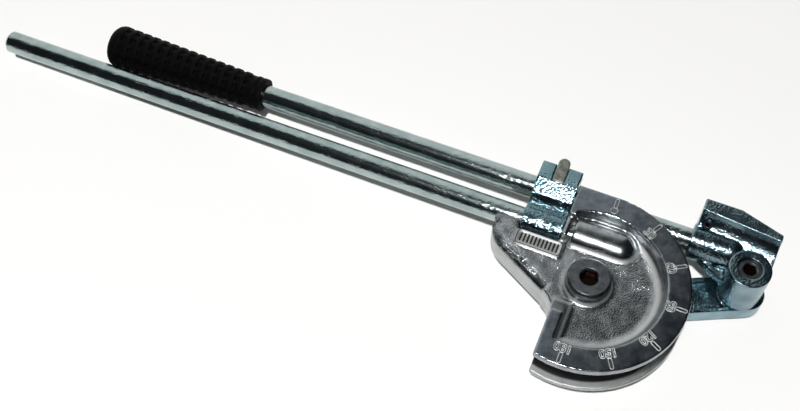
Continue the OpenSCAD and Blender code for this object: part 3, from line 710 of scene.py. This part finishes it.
def grip():
    """Rings of points drawn out along the lever, then twelve fields of each ring pressed in."""
    rows = grip_rows()
    piece = add(
        bpy.ops.mesh.primitive_circle_add,
        vertices=AROUND,
        radius=rows[0][1] * MM,
        fill_type="NGON",
        location=((GRIP_X + rows[0][0]) * MM, AXIS_Y * MM, AXIS_Z * MM),
        rotation=(0, math.pi / 2, 0),
    )
    bpy.ops.object.transform_apply(location=True, rotation=True)
    bpy.ops.object.mode_set(mode="EDIT")
    bpy.ops.mesh.select_all(action="SELECT")
    for (x0, r0), (x1, r1) in zip(rows, rows[1:]):
        bpy.ops.mesh.extrude_edges_move(TRANSFORM_OT_translate={"value": ((x1 - x0) * MM, 0, 0)})
        bpy.ops.transform.resize(
            value=(1, r1 / r0, r1 / r0), center_override=((GRIP_X + x1) * MM, AXIS_Y * MM, AXIS_Z * MM)
        )
    bpy.ops.mesh.select_all(action="SELECT")
    bpy.ops.mesh.normals_make_consistent(inside=False)
    bpy.ops.mesh.select_all(action="DESELECT")
    bpy.ops.object.mode_set(mode="OBJECT")

    pockets = [GRIP_X + NOSE + (i + POCKET_AT) * PITCH for i in range(RINGS)]
    for face in piece.data.polygons:
        in_ring = any(abs(face.center.x / MM - x) < 0.1 * PITCH for x in pockets)
        turn = math.atan2(face.center.z - AXIS_Z * MM, face.center.y - AXIS_Y * MM)
        column = int((turn / (2 * math.pi) % 1) * AROUND)
        face.select = in_ring and column % 4 < 2
    bpy.ops.object.mode_set(mode="EDIT")
    bpy.ops.mesh.inset(thickness=0.35 * MM, depth=-POCKET * MM, use_individual=False)
    bpy.ops.object.mode_set(mode="OBJECT")
    apply(piece, "BEVEL", width=0.25 * MM, segments=2, limit_method="ANGLE", angle_limit=math.radians(40))
    bpy.ops.object.shade_smooth_by_angle(angle=math.radians(35))
    rides(piece, "rubber_grip", "grip", finish("grip"))


grip()


# Floor, camera and light

# The tool lies on the link's end and nearly on its grip, so the floor rises a little towards the grip
LINK_END, SLOPE = -14.0, math.radians(1.6)
CLEARANCE = 0.2  # between the floor and the link's end
floor = add(
    bpy.ops.mesh.primitive_plane_add,
    size=8,
    location=(LINK_END * MM, 0, -CLEARANCE * MM),
    rotation=(0, SLOPE, 0),
)
bpy.ops.object.transform_apply(location=True, rotation=True)
floor.name = "floor"
# Matt white paper
paper = start("white_paper", **{"Base Color": linear("#f6f5f3"), "Roughness": 0.9})[0]
floor.data.materials.append(paper)

# The camera that was fitted to the photograph, which is 800 pixels wide
SENSOR, PHOTO_W, FOCAL = 36.0, 800, 1135.76
EYE = (16.9, -278.0, 515.6)
LOOK = (32.25, 0.0, 22.64)
scene = bpy.context.scene
scene.view_settings.view_transform = "Standard"
lens = bpy.data.cameras.new("camera")
lens.sensor_width = SENSOR
lens.lens = SENSOR * FOCAL / PHOTO_W
camera = bpy.data.objects.new("camera", lens)
camera.location = [value * MM for value in EYE]
camera.rotation_euler = [math.radians(angle) for angle in LOOK]
scene.collection.objects.link(camera)
scene.camera = camera

# The room: pale behind the tool, but not up on the right, and low all round it. Each mask has a direction,
# and how far along it the mask begins and is full.
ROOM_MASKS = (
    ((0.0, 1.0, 0.0), 0.06, 0.24),
    ((0.9, -0.1, 0.42), 0.315, 0.2),
    ((0.0, 0.0, 1.0), 0.02, -0.03),
)
world = bpy.data.worlds.new("studio")
scene.world = world
world.use_nodes = True
tree = world.node_tree
way = put(tree, "ShaderNodeTexCoord").outputs["Generated"]
masks = []
for toward, begins, full in ROOM_MASKS:
    along = put(tree, "ShaderNodeVectorMath", {0: way, 1: toward}, operation="DOT_PRODUCT")
    mask = put(
        tree,
        "ShaderNodeMapRange",
        {"Value": along.outputs["Value"], "From Min": begins, "From Max": full},
        interpolation_type="SMOOTHSTEP",
    )
    masks.append(mask.outputs["Result"])
behind, not_right, low = masks
pale = put(tree, "ShaderNodeMath", {0: behind, 1: not_right}, operation="MULTIPLY").outputs["Value"]
# Little of it lights the floor, so that shadows stay deep
rays = put(tree, "ShaderNodeLightPath").outputs
spared = put(
    tree, "ShaderNodeMath", {0: rays["Is Diffuse Ray"], 1: -0.7, 2: 1.0}, operation="MULTIPLY_ADD"
).outputs["Value"]
shown = put(tree, "ShaderNodeMath", {0: pale, 1: spared}, operation="MULTIPLY").outputs["Value"]
room = put(tree, "ShaderNodeValToRGB", {"Fac": shown}, stops=((0.0, "#202326"), (1.0, "#f2f4f3")))
# The camera sees a white backdrop, and metal and glass see it low down
mirror = put(
    tree,
    "ShaderNodeMath",
    {0: rays["Is Glossy Ray"], 1: rays["Is Transmission Ray"]},
    operation="ADD",
).outputs["Value"]
mirrored = put(tree, "ShaderNodeMath", {0: mirror, 1: low}, operation="MULTIPLY").outputs["Value"]
white = put(
    tree, "ShaderNodeMath", {0: mirrored, 1: rays["Is Camera Ray"]}, operation="ADD", use_clamp=True
).outputs["Value"]
sky = put(
    tree,
    "ShaderNodeMixRGB",
    {"Fac": white, "Color1": room.outputs["Color"], "Color2": linear("#ffffff")},
)
tree.links.new(sky.outputs["Color"], tree.nodes["Background"].inputs["Color"])

# A small flash above the camera that the metal mirrors, and a far lamp in line with it for the floor:
# place and width in metres, and watts
LAMPS = {
    "flash": ((-0.016, -0.2, 0.57), 0.07, 2.6),
    "key": ((-0.07, -1.09, 2.68), 0.14, 91.0),
}
for name, (spot, width, watts) in LAMPS.items():
    light = bpy.data.lights.new(name, "AREA")
    light.size = width
    light.energy = watts
    lamp = bpy.data.objects.new(name, light)
    lamp.location = spot
    lamp.rotation_euler = (-lamp.location).to_track_quat("-Z", "Y").to_euler()
    lamp.visible_diffuse = name == "key"
    lamp.visible_glossy = name == "flash"
    scene.collection.objects.link(lamp)
